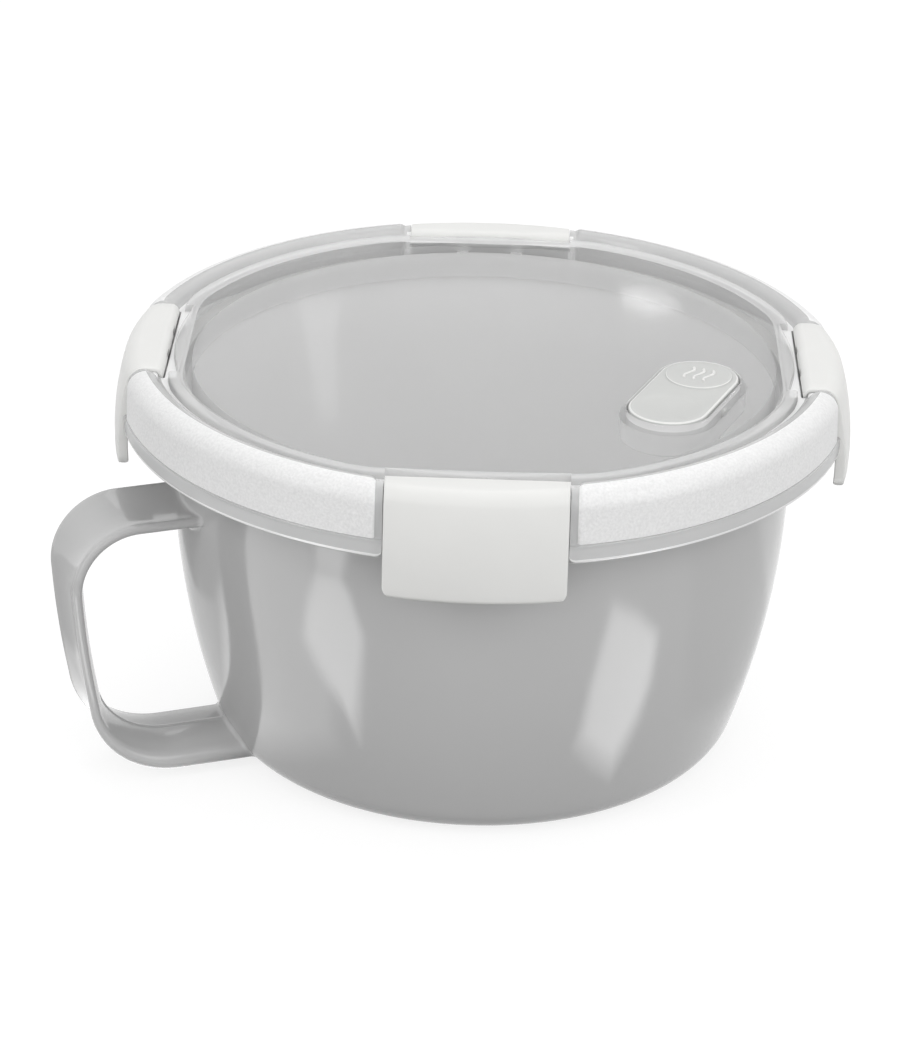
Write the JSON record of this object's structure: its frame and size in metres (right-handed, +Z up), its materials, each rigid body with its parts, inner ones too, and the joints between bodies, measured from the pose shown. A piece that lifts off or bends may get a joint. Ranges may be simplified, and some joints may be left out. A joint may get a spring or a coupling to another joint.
{
  "type": "soup mug with clip lid",
  "caption": "Round plastic soup mug with a strap handle, closed by a clear lid with swing clips and a rocking steam vent.",
  "frame": {"origin": "centre of the bowl's flat foot, on the table", "axes": "+Z up along the bowl's axis, +X away from the handle, so the handle points along -X"},
  "size_m": [0.1816, 0.1654, 0.094],
  "materials": {
    "mug_plastic": "glossy moulded grey",
    "lid_plastic": "clear moulded panel, finely frosted rim",
    "clip_plastic": "satin moulded warm white",
    "vent_plastic": "glossy moulded milky white",
    "seal_rubber": "soft matt silicone"
  },
  "bodies": {
    "mug": {"bowl": "mug_plastic", "handle": "mug_plastic"},
    "lid": {"lid": "lid_plastic", "lid_seal": "seal_rubber"},
    "clip_right": {"clip_right": "clip_plastic"},
    "clip_back": {"clip_back": "clip_plastic"},
    "clip_left": {"clip_left": "clip_plastic"},
    "clip_front": {"clip_front": "clip_plastic"},
    "vent": {"vent_rocker": "vent_plastic", "vent_seal": "seal_rubber"}
  },
  "joints": [
    {"name": "lid_lift", "type": "slide", "parent": "mug", "child": "lid", "axis": [0, 0, 1], "range_m": [0, 0.06]},
    {"name": "clip_right_hinge", "type": "hinge", "parent": "lid", "child": "clip_right", "pos_m": [0.06796, -0.02609, 0.0916], "axis": [-0.3584, -0.9336, 0], "range_deg": [-3.5, 90]},
    {"name": "clip_back_hinge", "type": "hinge", "parent": "lid", "child": "clip_back", "pos_m": [0.02609, 0.06796, 0.0916], "axis": [0.9336, -0.3584, 0], "range_deg": [-3.5, 90]},
    {"name": "clip_left_hinge", "type": "hinge", "parent": "lid", "child": "clip_left", "pos_m": [-0.06796, 0.02609, 0.0916], "axis": [0.3584, 0.9336, 0], "range_deg": [-3.5, 90]},
    {"name": "clip_front_hinge", "type": "hinge", "parent": "lid", "child": "clip_front", "pos_m": [-0.02609, -0.06796, 0.0916], "axis": [-0.9336, 0.3584, 0], "range_deg": [-3.5, 90]},
    {"name": "vent_rock", "type": "hinge", "parent": "lid", "child": "vent", "pos_m": [0.03404, -0.03525, 0.0894], "axis": [0.7314, -0.682, 0], "range_deg": [0, 10]}
  ]
}
